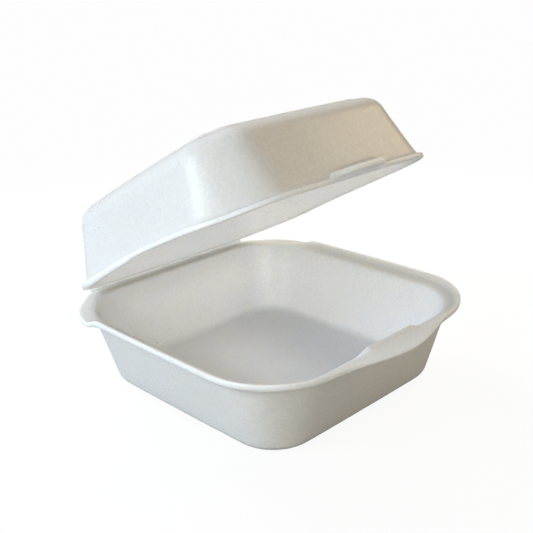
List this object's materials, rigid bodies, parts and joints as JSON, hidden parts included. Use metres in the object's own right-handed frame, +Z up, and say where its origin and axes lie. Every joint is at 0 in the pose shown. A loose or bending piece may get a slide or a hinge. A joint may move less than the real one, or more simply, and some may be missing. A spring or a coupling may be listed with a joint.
{
  "type": "hinged burger box",
  "caption": "Square disposable clamshell food box with rounded corners, a tapered tray, a taller domed lid hinged along the back, and a front tab over a thumb tongue.",
  "frame": {"origin": "centre of the tray's underside, in the plane that it stands on, under the middle of its rim", "axes": "+Z up, +Y towards the hinge, -Y towards the closing tab, +X along the hinge line"},
  "size_m": [0.1536, 0.1643, 0.1351],
  "materials": {
    "foam": "satin, fine pebbled"
  },
  "bodies": {
    "base": {"base_tray": "foam"},
    "lid": {"lid": "foam"}
  },
  "joints": [
    {"name": "lid_hinge", "type": "hinge", "parent": "base", "child": "lid", "pos_m": [0, 0.077, 0.0392], "axis": [-1, 0, 0], "range_deg": [-27.9, 152.1]}
  ]
}
